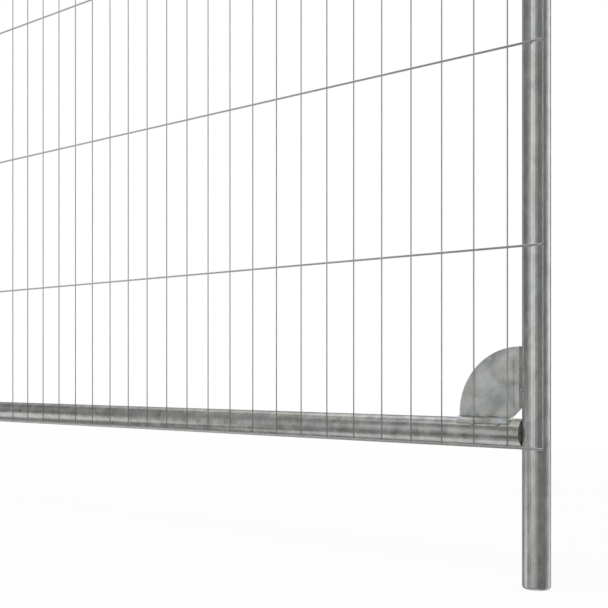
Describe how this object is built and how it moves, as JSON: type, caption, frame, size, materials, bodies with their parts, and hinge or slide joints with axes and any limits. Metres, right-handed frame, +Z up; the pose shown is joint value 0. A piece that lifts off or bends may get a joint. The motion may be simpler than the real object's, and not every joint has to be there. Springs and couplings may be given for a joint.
{
  "type": "anti-climb mesh panel",
  "caption": "Site fencing panel: a welded rectangle of round galvanised tube with legs for block feet, pressed corner gussets and close-spaced wire mesh on its front.",
  "frame": {"origin": "on the ground under the panel's middle, in the plane of the tubes' axes", "axes": "+X along the panel to the right-hand post, +Y to the back, away from the mesh, +Z up"},
  "size_m": [3.4798, 0.0479, 2.0134],
  "materials": {
    "galvanised_tube": "hot-dip galvanised, dull satin with soft cloudy spangle",
    "galvanised_sheet": "hot-dip galvanised pressed sheet, matt with cloudy spangle",
    "galvanised_wire": "galvanised drawn wire, satin",
    "zinc_coated_weld": "weld bead under zinc, dull"
  },
  "bodies": {
    "root": {"bottom_left_gusset": "galvanised_sheet", "bottom_left_welds": "zinc_coated_weld", "bottom_rail": "galvanised_tube", "bottom_rail_end_discs": "galvanised_sheet", "bottom_right_gusset": "galvanised_sheet", "bottom_right_welds": "zinc_coated_weld", "left_mesh_tacks": "zinc_coated_weld", "left_post": "galvanised_tube", "level_wire_1": "galvanised_wire", "level_wire_2": "galvanised_wire", "level_wire_3": "galvanised_wire", "level_wire_4": "galvanised_wire", "level_wire_5": "galvanised_wire", "level_wire_6": "galvanised_wire", "level_wire_7": "galvanised_wire", "right_mesh_tacks": "zinc_coated_weld", "right_post": "galvanised_tube", "top_left_gusset": "galvanised_sheet", "top_left_welds": "zinc_coated_weld", "top_rail": "galvanised_tube", "top_rail_end_discs": "galvanised_sheet", "top_right_gusset": "galvanised_sheet", "top_right_welds": "zinc_coated_weld", "upright_wires_01": "galvanised_wire", "upright_wires_02": "galvanised_wire", "upright_wires_03": "galvanised_wire", "upright_wires_04": "galvanised_wire", "upright_wires_05": "galvanised_wire", "upright_wires_06": "galvanised_wire", "upright_wires_07": "galvanised_wire", "upright_wires_08": "galvanised_wire", "upright_wires_09": "galvanised_wire", "upright_wires_10": "galvanised_wire", "upright_wires_11": "galvanised_wire", "upright_wires_12": "galvanised_wire", "upright_wires_13": "galvanised_wire", "upright_wires_14": "galvanised_wire", "upright_wires_15": "galvanised_wire", "upright_wires_16": "galvanised_wire", "upright_wires_17": "galvanised_wire", "upright_wires_18": "galvanised_wire", "upright_wires_19": "galvanised_wire", "upright_wires_20": "galvanised_wire", "upright_wires_21": "galvanised_wire", "upright_wires_22": "galvanised_wire", "upright_wires_23": "galvanised_wire", "upright_wires_24": "galvanised_wire", "upright_wires_25": "galvanised_wire", "upright_wires_26": "galvanised_wire", "upright_wires_27": "galvanised_wire", "upright_wires_28": "galvanised_wire", "upright_wires_29": "galvanised_wire", "upright_wires_30": "galvanised_wire", "upright_wires_31": "galvanised_wire"}
  },
  "joints": []
}
